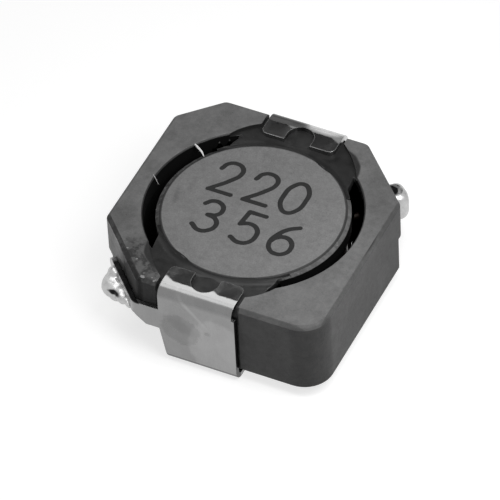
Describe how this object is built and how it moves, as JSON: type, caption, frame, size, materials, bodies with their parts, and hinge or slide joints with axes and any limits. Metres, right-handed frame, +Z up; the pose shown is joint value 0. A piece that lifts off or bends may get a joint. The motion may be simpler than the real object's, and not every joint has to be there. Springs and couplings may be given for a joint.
{
  "type": "shielded smd inductor",
  "caption": "Low square surface-mount power inductor: ferrite drum winding inside a cut-cornered ferrite ring, with folded terminals clipped over two opposite sides.",
  "frame": {"origin": "centre of the footprint, on the board plane that both terminal feet stand on", "axes": "+Z up from the board; +Y towards the back terminal, -Y towards the front terminal; +X to the right seen from the front"},
  "size_m": [0.01, 0.0106, 0.0038],
  "materials": {
    "ring_ferrite": "matt sintered ferrite",
    "drum_ferrite": "matt sintered ferrite, slightly paler",
    "enamelled_copper": "glossy enamel over copper",
    "tinned_terminal": "satin tin plating, smudged",
    "solder": "bright solder",
    "cured_adhesive": "glossy dark epoxy"
  },
  "bodies": {
    "root": {"shield_core": "ring_ferrite", "drum_core": "drum_ferrite", "winding": "enamelled_copper", "front_terminal": "tinned_terminal", "back_terminal": "tinned_terminal", "front_solder": "solder", "back_solder": "solder", "front_adhesive": "cured_adhesive", "back_adhesive": "cured_adhesive"}
  },
  "joints": []
}
